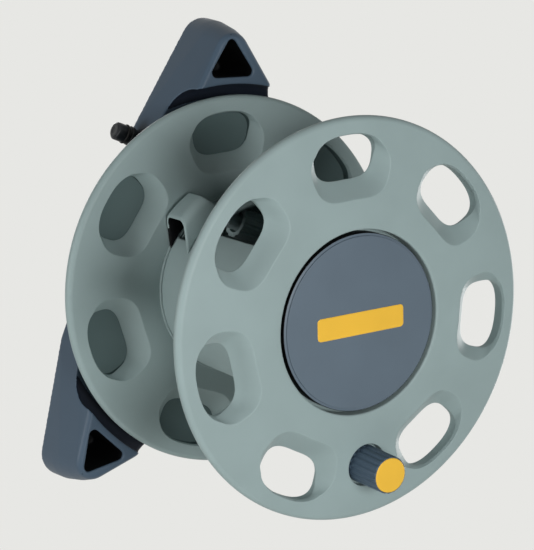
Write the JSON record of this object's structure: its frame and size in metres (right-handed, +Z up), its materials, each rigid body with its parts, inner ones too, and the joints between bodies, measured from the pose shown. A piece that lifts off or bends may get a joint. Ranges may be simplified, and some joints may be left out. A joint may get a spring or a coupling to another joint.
{
  "type": "wall mounted hose reel",
  "caption": "Wall hose reel: a drum between two flanges with rounded windows and a fluted winding knob turns on a hollow axle that a two headed wall bracket carries.",
  "frame": {"origin": "on the reel axis, in the wall plane that the bracket rests on", "axes": "+X to the right as seen facing the wall, +Y into the wall along the reel axis, +Z up"},
  "size_m": [0.3, 0.2631, 0.3912],
  "materials": {
    "grey_green": "fine grained, matt",
    "dark_blue": "fine grained, matt",
    "cap_blue": "fine grained, matt",
    "black": "smooth",
    "rubber": "smooth",
    "yellow": "smooth satin",
    "steel": "turned or zinc plated",
    "white": "smooth, self lubricating"
  },
  "bodies": {
    "bracket": {"wall_bracket": "dark_blue", "hub_cover": "dark_blue", "axle": "dark_blue", "axle_screws": "steel", "feed_pipe": "black", "inlet_connector": "black", "inlet_retainer": "steel", "inlet_o_ring": "rubber", "inlet_plug": "black", "thrust_washer": "white", "axle_o_rings": "rubber", "axle_washer": "steel", "axle_nut": "dark_blue"},
    "reel": {"rear_flange": "grey_green", "rear_bush": "white", "front_flange": "grey_green", "front_bush": "white", "drum": "grey_green", "hose_hood": "grey_green", "outlet_union": "grey_green", "union_screws": "steel", "hose_nut": "grey_green", "rear_drum_screws": "steel", "front_drum_screws": "steel", "centre_cap": "cap_blue", "cap_bar": "yellow", "knob_pin": "steel", "knob_pin_nut": "steel", "knob_pin_washer": "steel", "knob_retainer": "steel"},
    "knob": {"knob_grip": "dark_blue", "knob_cap": "yellow"}
  },
  "joints": [
    {"name": "reel_spin", "type": "hinge", "parent": "bracket", "child": "reel", "pos_m": [0, -0.13, 0], "axis": [0, 1, 0], "continuous": true},
    {"name": "knob_spin", "type": "hinge", "parent": "reel", "child": "knob", "pos_m": [0.04869, -0.245, -0.09808], "axis": [0, 1, 0], "continuous": true}
  ]
}
